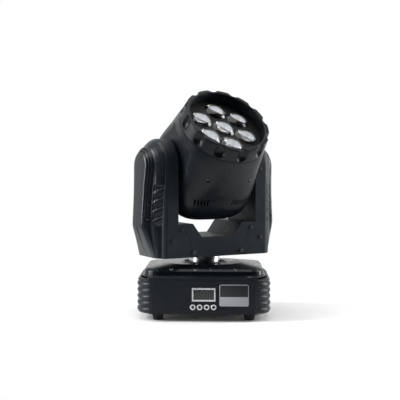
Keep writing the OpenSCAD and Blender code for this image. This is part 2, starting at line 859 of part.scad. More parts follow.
module tilt_motor_pulley() {
    color("silver") in_yoke() on_side(-1) translate([0, 0, tilt_motor_z]) {
        along_x(tilt_belt_x) toothed_pulley(pinion_teeth, tilt_pulley_h, 0, 1.2);
        along_x(upright_x + frame_t + 6) cylinder(r = 2.5, h = tilt_belt_x - upright_x - frame_t - 5);
    }
}

// ---- Head ----

function squared(x, n) = sign(x) * pow(abs(x), 2 / n);

// Outer form of the head's body, drawn inset by a distance
module head_form(inset) {
    hull() for (s = head_slices)
        translate([0, 0, s[0] < 0 ? max(s[0], inset - rear_v) : s[0]]) linear_extrude(0.1)
            polygon([for (a = [3 : 6 : 357])
                [(s[1] - inset) * squared(cos(a), s[3]), (s[2] - inset) * squared(sin(a), s[3])]]);
}

// Wall of the head's body with its flat cheeks
module head_wall() {
    difference() {
        head_form(0);
        difference() {
            head_form(wall);
            cheek_cuts(wall);
        }
        cheek_cuts(0);
        trunnion_cutout();
    }
}

module trunnion_cutout() {
    for (side = [-1, 1])
        on_side(side) along_x(ear_u) cylinder(r = trunnion_flange_r + 1, h = 20);
}

module cheek_cuts(depth) {
    for (side = [-1, 1])
        on_side(side) translate([cheek_u - depth, -100, -100]) cube([20, 200, 100 + cheek_v - depth]);
}

module head_screw_holes() {
    for (x = [-1, 1], y = [-1, 1])
        translate([x * head_screw_u, y * head_screw_w, head_screw_v]) rotate([-y * 90, 0, 0]) {
            cylinder(r = screw_head_r + 0.3, h = 10);
            cylinder(r = screw_r + 0.1, h = 10, center = true);
        }
}

module vent_slots() {
    for (x = [-1, 1], y = [-1, 1], k = [-2 : 2])
        translate([x * (vent_u + 5 * k), y * (body_w - 4), vent_v]) rotate([0, x * 15, 0])
            cube([2.2, 16, 10], center = true);
}

module head_front_shell() {
    color(casing) in_head() difference() {
        intersection() {
            head_wall();
            translate([-100, -100, split_v]) cube([200, 200, shell_v - split_v]);
        }
        head_screw_holes();
    }
}

module head_rear_shell() {
    color(casing) in_head() difference() {
        intersection() {
            head_wall();
            translate([-100, -100, -100]) cube([200, 200, 99.9 + split_v]);
        }
        vent_slots();
    }
}

module front_bezel() {
    color(casing) in_head() difference() {
        translate([0, 0, shell_v]) cylinder(r1 = bezel_r, r2 = barrel_r, h = rim_v - shell_v, $fn = 96);
        translate([0, 0, shell_v - 1]) cylinder(r = rim_bore, h = 40);
        for (k = [0 : scoop_count - 1])
            rotate([0, 0, k * 360 / scoop_count]) translate([barrel_r + 5.9, 0, rim_v - 9]) {
                cylinder(r = scoop_r, h = 20);
                sphere(r = scoop_r);
            }
    }
}

module lens_plate() {
    color("#111215") in_head() translate([0, 0, plate_v]) difference() {
        cylinder(r = rim_bore - 0.1, h = lens_plate_t);
        for (p = lens_spots)
            translate([p.x, p.y, -1]) cylinder(r = lens_r - 1, h = 5);
    }
}

module lenses() {
    rise = 5;
    edge = 1.5;
    ball = (lens_r * lens_r + rise * rise) / (2 * rise);
    color("#cfd6dc") in_head() for (p = lens_spots)
        translate([p.x, p.y, lens_v]) intersection() {
            cylinder(r = lens_r, h = edge + rise + 1);
            translate([0, 0, edge + rise - ball]) sphere(r = ball, $fn = 96);
        }
}

module lens_holders() {
    color("#111215") in_head() for (p = lens_spots)
        translate([p.x, p.y, board_v + 4]) difference() {
            cylinder(r1 = 8, r2 = lens_r - 0.5, h = plate_v - board_v - 4);
            translate([0, 0, -0.1]) cylinder(r1 = 5, r2 = lens_r - 2, h = plate_v - board_v - 3.8);
        }
}

module led_board() {
    color("white") in_head() translate([0, 0, board_v]) {
        cylinder(r = sink_r - 2, h = 1.6);
        for (p = lens_spots)
            translate([p.x, p.y, 1.5]) cylinder(r = 3.5, h = 1.8);
    }
}

module heat_sink() {
    color("silver") in_head() {
        translate([0, 0, board_v - 4]) cylinder(r = sink_r, h = 4);
        intersection() {
            translate([0, 0, 4]) cylinder(r = sink_r - 6, h = board_v - 7);
            for (k = [-5 : 5])
                translate([k * 7.4 - 1, -60, 4]) cube([2, 120, board_v - 7]);
        }
    }
}

module fan_frame() {
    color("#17181b") in_head() translate([0, 0, fan_v]) {
        difference() {
            translate([-fan_w / 2, -fan_w / 2, 0]) cube([fan_w, fan_w, fan_h]);
            translate([0, 0, -1]) cylinder(r = fan_bore, h = fan_h + 2);
            for (x = [-1, 1], y = [-1, 1])
                translate([x * 35.75, y * 35.75, -1]) cylinder(r = 2.1, h = fan_h + 2);
        }
        cylinder(r = 15, h = 2.5);
        for (a = [45 : 90 : 315])
            rotate([0, 0, a]) translate([14, -2, 0]) cube([fan_bore - 12, 4, 2.4]);
        cylinder(r = 1.5, h = 12);
    }
}

module fan_rotor() {
    color("#26282c") in_head() translate([0, 0, fan_v + 3.2]) difference() {
        union() {
            cylinder(r = 15, h = 10.5);
            intersection() {
                cylinder(r = fan_bore - 1.2, h = 10.5);
                for (a = [0 : 360 / 7 : 359])
                    rotate([0, 0, a]) translate([14, 0, 5.2]) rotate([38, 0, 0])
                        cube([30, 1.5, 30], center = false);
            }
        }
        translate([0, 0, -1]) cylinder(r = 1.5 + run_gap, h = 10);
    }
}

module head_frame() {
    color(steel) in_head() {
        for (side = [-1, 1])
            on_side(side) difference() {
                translate([ear_u, -20, -18]) cube([ear_t, 40, 18 + board_v - 4]);
                along_x(ear_u - 1) cylinder(r = 5, h = 5);
            }
        difference() {
            translate([0, 0, board_v - 7]) cylinder(r = ear_u + 1, h = 3);
            translate([0, 0, board_v - 8]) cylinder(r = sink_r - 5.5, h = 5);
        }
    }
}

module trunnions() {
    color("silver") in_head() for (side = [-1, 1])
        on_side(side) difference() {
            union() {
                along_x(ear_u + ear_t) cylinder(r = trunnion_flange_r, h = 3);
                along_x(ear_u + ear_t) cylinder(r = trunnion_r, h = side < 0 ? 43.5 : 26);
            }
            along_x(ear_u) cylinder(r = 5, h = 60);
        }
}

module tilt_pulley() {
    color("silver") in_head() on_side(-1) along_x(tilt_belt_x)
        toothed_pulley(tilt_teeth, tilt_pulley_h, trunnion_r, 1.2);
}

module head_screws() {
    color("silver") in_head() for (x = [-1, 1], y = [-1, 1])
        translate([x * head_screw_u, y * head_screw_w, head_screw_v]) rotate([-y * 90, 0, 0]) screw(5);
}

base_body();
base_top_cover();
floor_plate();
rubber_feet();
base_screws();
front_panel();
display_frame();
display_window();
button_rings();
label_plate();
microphone();
rear_panel();
power_inlet();
fuse_holder();
dmx_in_socket();
dmx_out_socket();
socket_contacts();
power_supply();
control_board();
pan_bearing_plate();
pan_bearing();
neck_collar();
pan_motor();
pan_belt();
button(0);  // button_1
button(1);  // button_2
button(2);  // button_3
button(3);  // button_4
pan_motor_pulley();
pan_shaft();
pan_pulley();
yoke_frame();
crossbar_front_cover();
crossbar_rear_cover();
crossbar_tray();
left_arm_frame();
right_arm_frame();
left_arm_cover();
right_arm_cover();
hub_rings();
yoke_screws();
tilt_motor();
tilt_belt();
tilt_bearings();
driver_board();
tilt_motor_pulley();
head_front_shell();
head_rear_shell();
front_bezel();
lens_plate();
lenses();
lens_holders();
led_board();
heat_sink();
fan_frame();
fan_rotor();
head_frame();
trunnions();
tilt_pulley();
head_screws();
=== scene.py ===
"""Looks of the moving head light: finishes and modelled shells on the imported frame, and its setting."""

import json
import math

import bmesh
import bpy
from mathutils import Matrix, Vector


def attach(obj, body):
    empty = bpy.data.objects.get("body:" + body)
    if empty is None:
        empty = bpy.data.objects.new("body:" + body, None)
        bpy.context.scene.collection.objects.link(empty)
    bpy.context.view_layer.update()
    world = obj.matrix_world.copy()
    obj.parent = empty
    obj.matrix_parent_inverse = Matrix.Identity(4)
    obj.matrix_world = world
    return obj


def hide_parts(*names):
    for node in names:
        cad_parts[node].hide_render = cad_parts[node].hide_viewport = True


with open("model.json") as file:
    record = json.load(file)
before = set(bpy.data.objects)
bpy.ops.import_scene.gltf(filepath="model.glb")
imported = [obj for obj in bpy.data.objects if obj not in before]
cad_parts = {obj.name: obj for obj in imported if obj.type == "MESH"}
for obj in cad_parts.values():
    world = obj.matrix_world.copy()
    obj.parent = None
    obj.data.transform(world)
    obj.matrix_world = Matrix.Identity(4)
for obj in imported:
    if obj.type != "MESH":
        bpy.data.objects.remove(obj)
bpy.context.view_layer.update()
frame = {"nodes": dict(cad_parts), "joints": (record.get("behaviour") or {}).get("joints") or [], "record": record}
NODES = frame["nodes"]
JOINTS = {joint["name"]: joint for joint in frame["joints"]}
MM = 0.001

# Main sizes, in mm, as in the part's source
TILT_Z = 200.9
RIM_V = 92
HEAD_SCREW_U, HEAD_SCREW_W, HEAD_SCREW_V = 33, 59.5, 36
VENT_U, VENT_V = 30, -3
RIM_R = 61.5
BEZEL_R = 64
RIM_BORE = 55
SHELL_V = 72
SPLIT_V = 8
REAR_V = 57
CHEEK_U = 57.5
CHEEK_V = 57.5
SCOOPS = 12
SCOOP_R = 9.5
LENS_R = 16.2
LENS_RING = 33.5
YOKE_Z = 75.5
WAIST_Z = 119
PANEL_Y = -75.4
WALL = 2.5
FLOOR_Z = -10.5
CORNERS = [(x, y) for x in (-1, 1) for y in (-1, 1)]


def local_frame(x_axis, z_axis, origin):
    y_axis = z_axis.cross(x_axis)
    matrix = Matrix((x_axis, y_axis, z_axis)).transposed().to_4x4()
    matrix.translation = origin
    return matrix


SIDE = -Vector(JOINTS["tilt"]["axis"])
BEAM = Vector(JOINTS["fan_spin"]["axis"])
BASE = Matrix.Identity(4)
YOKE = local_frame(SIDE, Vector((0, 0, 1)), Vector((0, 0, 0)))
HEAD = local_frame(SIDE, BEAM, Vector((0, 0, TILT_Z * MM)))


# ---- Camera, lamps and floor ----

CAMERA_LENS = 76.02
CAMERA_PLACE = (0.0173, -1.2185, 0.2092)
CAMERA_TURN = (1.12, -2.65, 0.15)

# Name, place, width and height in m, and power in W
LAMPS = (
    ("left_softbox", (-1.15, -0.25, 0.6), 0.45, 1.1, 21),
    ("right_softbox", (1.2, 0.2, 0.5), 0.45, 1.1, 14),
    ("top_softbox", (0.0, -0.1, 1.5), 1.2, 1.2, 9),
)
LAMP_AIM = (0, 0, 0.15)

# Strength of the ambient light, and of the room seen in reflections: its middle and its rise towards the
# back
AMBIENT = 0.36
ROOM_SLOPE = 0.62
ROOM_MIDDLE = 0.32

# The floor's radius, the part of it that is solid and the width over which it fades, in m
FLOOR_R = 1.6
FLOOR_SOLID = 0.2
FLOOR_FADE = 0.28


def add_camera():
    """A camera in front of the object, turned by its azimuth, pitch and roll."""
    data = bpy.data.cameras.new("camera")
    data.lens = CAMERA_LENS
    data.sensor_width = 36
    data.clip_end = 20
    camera = bpy.data.objects.new("camera", data)
    bpy.context.scene.collection.objects.link(camera)
    camera.location = CAMERA_PLACE
    azimuth, pitch, roll = (math.radians(angle) for angle in CAMERA_TURN)
    level = math.cos(pitch)
    ahead = Vector((-math.sin(azimuth) * level, math.cos(azimuth) * level, math.sin(pitch)))
    turn = ahead.to_track_quat("-Z", "Y") @ Matrix.Rotation(roll, 3, "Z").to_quaternion()
    camera.rotation_mode = "QUATERNION"
    camera.rotation_quaternion = turn
    bpy.context.scene.camera = camera


def add_lamp(name, place, width, height, power):
    data = bpy.data.lights.new(name, "AREA")
    data.shape = "RECTANGLE"
    data.size = width
    data.size_y = height
    data.energy = power
    lamp = bpy.data.objects.new(name, data)
    bpy.context.scene.collection.objects.link(lamp)
    lamp.location = place
    aim = Vector(LAMP_AIM) - Vector(place)
    lamp.rotation_mode = "QUATERNION"
    lamp.rotation_quaternion = aim.to_track_quat("-Z", "Y")


def add_world():
    """White behind the object, a moderate ambient light, and a dimmer room towards the front in reflections."""
    world = bpy.data.worlds.new("world")
    bpy.context.scene.world = world
    world.use_nodes = True
    tree = world.node_tree
    background = tree.nodes["Background"]
    background.inputs["Color"].default_value = (1, 1, 1, 1)
    path = tree.nodes.new("ShaderNodeLightPath")
    coords = tree.nodes.new("ShaderNodeTexCoord")
    split = tree.nodes.new("ShaderNodeSeparateXYZ")
    tree.links.new(coords.outputs["Generated"], split.inputs[0])
    room = math_node(tree, "MULTIPLY_ADD", split.outputs["Y"], ROOM_SLOPE, ROOM_MIDDLE)
    room.use_clamp = True
    seen = math_node(tree, "MAXIMUM", path.outputs["Is Camera Ray"], path.outputs["Is Transmission Ray"])
    glossy = math_node(tree, "SUBTRACT", room.outputs[0], AMBIENT)
    glossy = math_node(tree, "MULTIPLY", glossy.outputs[0], path.outputs["Is Glossy Ray"])
    base = math_node(tree, "ADD", glossy.outputs[0], AMBIENT)
    strength = tree.nodes.new("ShaderNodeMix")
    tree.links.new(seen.outputs[0], strength.inputs[0])
    tree.links.new(base.outputs[0], strength.inputs[2])
    strength.inputs[3].default_value = 1.0
    tree.links.new(strength.outputs[0], background.inputs["Strength"])


def math_node(tree, operation, *values):
    node = tree.nodes.new("ShaderNodeMath")
    node.operation = operation
    for socket, value in zip(node.inputs, values):
        if isinstance(value, (int, float)):
            socket.default_value = value
        else:
            tree.links.new(value, socket)
    return node


def floor_material():
    """Pale and matt near the object, fading to nothing away from it."""
    material = bpy.data.materials.new("floor")
    material.use_nodes = True
    tree = material.node_tree
    shader = tree.nodes["Principled BSDF"]
    shader.inputs["Base Color"].default_value = (0.96, 0.96, 0.96, 1)
    shader.inputs["Roughness"].default_value = 0.9
    shader.inputs["Specular IOR Level"].default_value = 0.0
    coords = tree.nodes.new("ShaderNodeTexCoord")
    length = tree.nodes.new("ShaderNodeVectorMath")
    length.operation = "LENGTH"
    tree.links.new(coords.outputs["Object"], length.inputs[0])
    fade = math_node(tree, "MULTIPLY_ADD", length.outputs["Value"], 1 / FLOOR_FADE, -FLOOR_SOLID / FLOOR_FADE)
    fade.use_clamp = True
    clear = tree.nodes.new("ShaderNodeBsdfTransparent")
    mix = tree.nodes.new("ShaderNodeMixShader")
    tree.links.new(fade.outputs[0], mix.inputs[0])
    tree.links.new(shader.outputs[0], mix.inputs[1])
    tree.links.new(clear.outputs[0], mix.inputs[2])
    tree.links.new(mix.outputs[0], tree.nodes["Material Output"].inputs["Surface"])
    return material


def add_floor():
    bm = bmesh.new()
    bmesh.ops.create_circle(bm, cap_ends=True, segments=96, radius=FLOOR_R)
    mesh = bpy.data.meshes.new("floor")
    bm.to_mesh(mesh)
    bm.free()
    floor = bpy.data.objects.new("floor", mesh)
    floor.location = (0, 0, FLOOR_Z * MM)
    bpy.context.scene.collection.objects.link(floor)
    mesh.materials.append(floor_material())


# ---- Materials ----

# Range of a noise that is used, the fineness of specks and gloss against the patches, and the specks'
# brightness
NOISE_LOW, NOISE_HIGH = 0.3, 0.7
SPECK_SCALE, GLOSS_SCALE = 9, 2.3
SPECK_LOW, SPECK_HIGH = 0.62, 0.78
SPECK_BRIGHTNESS = 3.0


def noise(tree, coords, scale, detail=3.0, roughness=0.55):
    node = tree.nodes.new("ShaderNodeTexNoise")
    node.inputs["Scale"].default_value = scale
    node.inputs["Detail"].default_value = detail
    node.inputs["Roughness"].default_value = roughness
    tree.links.new(coords, node.inputs["Vector"])
    return node.outputs["Fac"]


def remap(tree, value, low, high, out_low, out_high):
    node = tree.nodes.new("ShaderNodeMapRange")
    for name, number in (("From Min", low), ("From Max", high), ("To Min", out_low), ("To Max", out_high)):
        node.inputs[name].default_value = number
    tree.links.new(value, node.inputs["Value"])
    return node.outputs["Result"]


def mix_color(tree, factor, first, second):
    node = tree.nodes.new("ShaderNodeMix")
    node.data_type = "RGBA"
    tree.links.new(factor, node.inputs[0])
    for socket, value in ((node.inputs[6], first), (node.inputs[7], second)):
        if isinstance(value, tuple):
            socket.default_value = (*value, 1)
        else:
            tree.links.new(value, socket)
    return node.outputs[2]


def scaled(color, factor):
    return tuple(min(1.0, channel * factor) for channel in color)


def finish(name, color, rough, metallic=0.0, specular=0.5, mottle=0.12, patch=60, grain=900, depth=0.05,
           rough_spread=0.08, dust=0.0, stretch=None):
    """A finish with colour variation, uneven gloss, a fine grain and, with dust, pale specks."""
    material = bpy.data.materials.new(name)
    material.use_nodes = True
    tree = material.node_tree
    shader = tree.nodes["Principled BSDF"]
    shader.inputs["Metallic"].default_value = metallic
    shader.inputs["Specular IOR Level"].default_value = specular
    coords = tree.nodes.new("ShaderNodeTexCoord").outputs["Object"]
    if stretch:
        mapping = tree.nodes.new("ShaderNodeMapping")
        mapping.inputs["Scale"].default_value = stretch
        tree.links.new(coords, mapping.inputs["Vector"])
        coords = mapping.outputs["Vector"]
    patches = remap(tree, noise(tree, coords, patch), NOISE_LOW, NOISE_HIGH, 0, 1)
    shade = mix_color(tree, patches, scaled(color, 1 - mottle), scaled(color, 1 + mottle))
    if dust:
        fine = noise(tree, coords, patch * SPECK_SCALE, 6.0, 0.7)
        specks = remap(tree, fine, SPECK_LOW, SPECK_HIGH, 0, dust)
        shade = mix_color(tree, specks, shade, scaled(color, SPECK_BRIGHTNESS))
    tree.links.new(shade, shader.inputs["Base Color"])
    uneven = noise(tree, coords, patch * GLOSS_SCALE, 4.0)
    gloss = remap(tree, uneven, NOISE_LOW, NOISE_HIGH, rough - rough_spread, rough + rough_spread)
    tree.links.new(gloss, shader.inputs["Roughness"])
    bump = tree.nodes.new("ShaderNodeBump")
    bump.inputs["Strength"].default_value = 1.0
    bump.inputs["Distance"].default_value = depth * MM
    tree.links.new(noise(tree, coords, grain, 2.0), bump.inputs["Height"])
    tree.links.new(bump.outputs["Normal"], shader.inputs["Normal"])
    return material


def clear_glass(name, tint, rough):
    """Moulded clear lens with faint flow marks."""
    material = finish(name, tint, rough, specular=0.5, mottle=0.02, patch=40, grain=120, depth=0.02,
                      rough_spread=0.015)
    shader = material.node_tree.nodes["Principled BSDF"]
    shader.inputs["Transmission Weight"].default_value = 1.0
    shader.inputs["IOR"].default_value = 1.49
    return material


BLACK = (0.0075, 0.0108, 0.0150)
FINISHES = {
    "casing": finish("casing", BLACK, 0.33, specular=0.34, grain=1100, depth=0.035, dust=0.10),
    "casing_light": finish("casing_light", scaled(BLACK, 1.6), 0.46, specular=0.26, grain=1300,
                           depth=0.05, dust=0.15),
    "head": finish("head", scaled(BLACK, 0.75), 0.34, specular=0.22, grain=1100, depth=0.03, dust=0.08),
    "base_shell": finish("base_shell", BLACK, 0.36, specular=0.26, grain=1100, depth=0.03, dust=0.10),
    "deck": finish("deck", scaled(BLACK, 0.8), 0.22, specular=0.32, grain=700, depth=0.012,
                   rough_spread=0.05, dust=0.08),
    "panel": finish("panel", scaled(BLACK, 0.9), 0.45, specular=0.2, grain=1500, depth=0.03, dust=0.06),
    "black_steel": finish("black_steel", (0.02, 0.02, 0.023), 0.5, specular=0.4, grain=900, depth=0.06,
                          dust=0.2),
    "sheet_steel": finish("sheet_steel", (0.55, 0.56, 0.58), 0.38, metallic=1.0, mottle=0.08, patch=90,
                          depth=0.02),
    "polished_metal": finish("polished_metal", (0.74, 0.75, 0.78), 0.27, metallic=1.0, mottle=0.05,
                             depth=0.004,
                             grain=400, rough_spread=0.04, stretch=(1, 1, 22)),
    "screw_metal": finish("screw_metal", (0.5, 0.5, 0.52), 0.33, metallic=1.0, mottle=0.15, grain=1500,
                          depth=0.02),
    "black_screw": finish("black_screw", (0.16, 0.165, 0.18), 0.36, metallic=1.0, mottle=0.2,
                          grain=1500, depth=0.02),
    "rubber": finish("rubber", (0.016, 0.016, 0.018), 0.75, specular=0.2, grain=1200, depth=0.08, dust=0.3),
    "frame_silver": finish("frame_silver", (0.62, 0.64, 0.67), 0.3, metallic=0.6, mottle=0.04, depth=0.01),
    "ring_white": finish("ring_white", (0.7, 0.72, 0.75), 0.3, metallic=0.5, mottle=0.05, depth=0.01),
    "display": finish("display", (0.004, 0.0045, 0.005), 0.08, specular=0.5, mottle=0.1, depth=0.003,
                      rough_spread=0.03),
    "digit": finish("digit", (0.10, 0.095, 0.095), 0.3, specular=0.4, mottle=0.1, depth=0.004),
    "socket": finish("socket", (0.013, 0.013, 0.015), 0.35, specular=0.4, depth=0.03, dust=0.1),
    "contact": finish("contact", (0.66, 0.62, 0.5), 0.28, metallic=1.0, mottle=0.1, depth=0.01),
    "button": finish("button", (0.010, 0.010, 0.012), 0.35, specular=0.4, grain=1500, depth=0.02, dust=0.1),
    "circuit": finish("circuit", (0.02, 0.12, 0.05), 0.4, specular=0.5, mottle=0.3, patch=300, depth=0.04),
    "psu": finish("psu", (0.6, 0.61, 0.63), 0.42, metallic=1.0, mottle=0.08, depth=0.02),
    "motor": finish("motor", (0.05, 0.05, 0.055), 0.4, metallic=0.8, mottle=0.1, depth=0.02, dust=0.1),
    "belt": finish("belt", (0.015, 0.015, 0.016), 0.7, specular=0.2, grain=1500, depth=0.05, dust=0.2),
    "bearing": finish("bearing", (0.62, 0.62, 0.64), 0.22, metallic=1.0, mottle=0.06, depth=0.008),
    "pulley": finish("pulley", (0.62, 0.63, 0.65), 0.3, metallic=1.0, mottle=0.08, depth=0.012),
    "lens_black": finish("lens_black", (0.006, 0.006, 0.007), 0.5, specular=0.25, grain=1500, depth=0.03),
    "lens_clear": clear_glass("lens_clear", (0.97, 0.98, 0.99), 0.03),
    "reflector": finish("reflector", (0.56, 0.58, 0.62), 0.3, metallic=1.0, mottle=0.08, patch=200,
                        depth=0.03),
    "led_white": finish("led_white", (0.7, 0.7, 0.66), 0.45, mottle=0.06, patch=300, depth=0.02),
    "heat_alu": finish("heat_alu", (0.58, 0.59, 0.61), 0.35, metallic=1.0, mottle=0.08, depth=0.02),
    "fan_black": finish("fan_black", (0.013, 0.013, 0.015), 0.4, specular=0.4, depth=0.03, dust=0.25),
    "trunnion_steel": finish("trunnion_steel", (0.6, 0.6, 0.62), 0.25, metallic=1.0, mottle=0.06,
                             depth=0.01),
}


# Middle, size and corner radius of the blank plate, in mm, the half size inside its border and the top
# of its pale part
LABEL_X, LABEL_Z = 41.7, 26.2
LABEL_W, LABEL_H, LABEL_CORNER = 40, 29.7, 2.6
BORDER_X, BORDER_Z = 19.1, 13.9
PALE_TOP = 24.1
LABEL_DARK, LABEL_PALE = (0.022, 0.023, 0.027), (0.30, 0.31, 0.33)


def past_border(tree, place, middle, half):
    """How far a coordinate lies beyond a half width from the middle, both in mm."""
    offset = math_node(tree, "SUBTRACT", place, middle * MM)
    distance = math_node(tree, "ABSOLUTE", offset.outputs[0])
    return math_node(tree, "SUBTRACT", distance.outputs[0], half * MM).outputs[0]


def label_finish():
    """Blank two-tone plate: dark above, pale below, with a thin pale border."""
    material = finish("label", (0.5, 0.51, 0.53), 0.4, specular=0.3, mottle=0.05, depth=0.01)
    tree = material.node_tree
    shader = tree.nodes["Principled BSDF"]
    coords = tree.nodes.new("ShaderNodeTexCoord").outputs["Object"]
    split = tree.nodes.new("ShaderNodeSeparateXYZ")
    tree.links.new(coords, split.inputs[0])
    edge_x = past_border(tree, split.outputs["X"], LABEL_X, BORDER_X)
    edge_z = past_border(tree, split.outputs["Z"], LABEL_Z, BORDER_Z)
    outside = math_node(tree, "MAXIMUM", edge_x, edge_z)
    border = math_node(tree, "GREATER_THAN", outside.outputs[0], 0.0)
    lower = math_node(tree, "LESS_THAN", split.outputs["Z"], PALE_TOP * MM)
    pale = math_node(tree, "MAXIMUM", border.outputs[0], lower.outputs[0])
    color = mix_color(tree, pale.outputs[0], LABEL_DARK, LABEL_PALE)
    tree.links.new(color, shader.inputs["Base Color"])
    return material


FINISHES["label"] = label_finish()

SPECIAL_FINISH = {
    "base_top_cover": "deck",
    "head_front_shell": "head",
    "head_rear_shell": "head",
    "front_bezel": "head",
    "lens_holders": "reflector",
}


def node_slots():
    return {part["node"]: part["material_slot"] for part in frame["record"]["subparts"]}


SLOTS = node_slots()


# Width of the softened edges in mm, and the nodes that differ from it
EDGE_WIDTH = 0.25
EDGE_WIDTHS = {
    "base_top_cover": 1.2, "base_body": 0.6, "left_arm_frame": 1.2, "right_arm_frame": 1.2,
    "crossbar_front_cover": 0.6, "crossbar_rear_cover": 0.6, "crossbar_tray": 0.6,
    "fan_rotor": 0, "heat_sink": 0, "pan_pulley": 0, "tilt_pulley": 0, "pan_motor_pulley": 0,
    "tilt_motor_pulley": 0, "lenses": 0, "display_window": 0, "yoke_screws": 0.12, "base_screws": 0.12,
    "head_screws": 0.12, "socket_contacts": 0.1, "pan_belt": 0, "tilt_belt": 0,
}


def dress_nodes():
    """Gives each CAD node its finish, and most of them softly rounded edges."""
    for name, obj in NODES.items():
        obj.data.materials.clear()
        obj.data.materials.append(FINISHES[SPECIAL_FINISH.get(name, SLOTS[name])])
        width = EDGE_WIDTHS.get(name, EDGE_WIDTH)
        if width:
            soften(obj, width)


def soften(obj, width):
    weld = obj.modifiers.new("weld", "WELD")
    weld.merge_threshold = 1e-6
    bevel = obj.modifiers.new("bevel", "BEVEL")
    bevel.width = width * MM
    bevel.segments = 2
    bevel.limit_method = "ANGLE"
    bevel.angle_limit = math.radians(32)
    bevel.harden_normals = True


# ---- Modelled pieces ----

def local_mesh(name, bm, matrix):
    """Mesh data from a shape drawn in mm in a local frame."""
    mesh = bpy.data.meshes.new(name)
    bmesh.ops.recalc_face_normals(bm, faces=bm.faces)
    bmesh.ops.scale(bm, vec=(MM, MM, MM), verts=bm.verts)
    bm.to_mesh(mesh)
    bm.free()
    mesh.transform(matrix)
    return mesh


def new_piece(name, bm, matrix, finish_name, body, sharp=35):
    """Makes an object from a shape drawn in mm, and lets it ride on a body."""
    mesh = local_mesh(name, bm, matrix)
    for polygon in mesh.polygons:
        polygon.use_smooth = True
    mesh.set_sharp_from_angle(angle=math.radians(sharp))
    mesh.materials.append(FINISHES[finish_name])
    obj = bpy.data.objects.new(name, mesh)
    bpy.context.scene.collection.objects.link(obj)
    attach(obj, body)
    return obj


def join_rings(bm, first, second, closed=True):
    """Joins two rows of equally many points with quads."""
    count = len(first)
    for i in range(count if closed else count - 1):
        j = (i + 1) % count
        bm.faces.new((first[i], first[j], second[j], second[i]))


def loft(bm, rows, closed=True, cap_first=False, cap_last=False):
    """Joins each row to the next, and closes the ends with a face where asked."""
    rings = [[bm.verts.new(point) for point in row] for row in rows]
    for first, second in zip(rings, rings[1:]):
        join_rings(bm, first, second, closed)
    if cap_first:
        bm.faces.new(list(reversed(rings[0])))
    if cap_last:
        bm.faces.new(rings[-1])
    return rings


def ease(low, high, x):
    t = min(1, max(0, (x - low) / (high - low)))
    return t * t * (3 - 2 * t)


def spline(stations, x):
    """Smooth value of each column of the stations at x; the stations are sorted by their first number."""
    keys = [row[0] for row in stations]
    i = max(1, min(len(keys) - 1, next((k for k, key in enumerate(keys) if key > x), len(keys) - 1)))
    x0, x1 = keys[i - 1], keys[i]
    t = (x - x0) / (x1 - x0)

    def slope(k, column):
        low, high = max(0, k - 1), min(len(keys) - 1, k + 1)
        return (stations[high][column] - stations[low][column]) / (keys[high] - keys[low])

    values = []
    for column in range(1, len(stations[0])):
        a, b = stations[i - 1][column], stations[i][column]
        m0, m1 = slope(i - 1, column) * (x1 - x0), slope(i, column) * (x1 - x0)
        values.append((2 * t**3 - 3 * t**2 + 1) * a + (t**3 - 2 * t**2 + t) * m0
                      + (3 * t**2 - 2 * t**3) * b + (t**3 - t**2) * m1)
    return values


# Place along the beam, half width, half height and squareness of the head's body
HEAD_STATIONS = [
    (-57, 38.5, 42.5, 2.8), (-48, 50.5, 58.5, 3.4), (-38, 57.5, 66.5, 4.0),
    (-20, 60.0, 69.5, 4.8), (0, 60.5, 67.5, 4.6), (38, 60.5, 65.5, 3.0),
    (72, 64.0, 64.0, 2.0),
]
HEAD_POINTS = 240
REAR_WALL_V = -50
CHEEK_STEP = 0.8
DOME_SHARES = (0.3, 0.6, 0.85, 0.96)
DOME_RISE = 1.2


def squared(value, power):
    return math.copysign(abs(value) ** (2 / power), value)


def head_row(v, clamp, inset=0.0, shrink=1.0):
    """An outline of the head's body across the beam; clamp flattens its cheeks."""
    half_u, half_w, power = spline(HEAD_STATIONS, v)
    row = []
    for k in range(HEAD_POINTS):
        angle = math.radians((k + 0.5) * 360 / HEAD_POINTS)
        u = (half_u - inset) * shrink * squared(math.cos(angle), power)
        w = (half_w - inset) * shrink * squared(math.sin(angle), power)
        if clamp:
            u = max(-CHEEK_U + inset, min(CHEEK_U - inset, u))
        row.append((u, w, v + inset if v < REAR_WALL_V else v))
    return row


def rear_dome(low):
    """Outlines that close the head's rear with a slight dome, from its middle outwards."""
    return [[(u, w, low - DOME_RISE * (1 - share * share)) for u, w, _ in head_row(low, False, shrink=share)]
            for share in DOME_SHARES]


def head_shell(name, low, high, node):
    """A smooth half of the head's body, with its wall and flat cheeks."""
    bm = bmesh.new()
    steps = max(12, int((high - low) / 2))
    places = sorted({low + (high - low) * i / steps for i in range(steps + 1)})
    outer = [head_row(v, v < CHEEK_V) for v in places if abs(v - CHEEK_V) > CHEEK_STEP]
    if low < CHEEK_V < high:
        outer += [head_row(CHEEK_V, True), head_row(CHEEK_V + 0.01, False)]
        outer.sort(key=lambda row: row[0][2])
    inner = [head_row(v, True, inset=WALL) for v in places]
    at_rear = low == -REAR_V
    if at_rear:
        outer = rear_dome(low) + outer
    rings = loft(bm, outer, cap_first=at_rear)
    inside = loft(bm, inner, cap_first=at_rear)
    if not at_rear:
        join_rings(bm, rings[0], inside[0])
    join_rings(bm, rings[-1], inside[-1])
    shell = new_piece(name, bm, HEAD, "head", "head", sharp=28)
    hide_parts(node)
    return shell


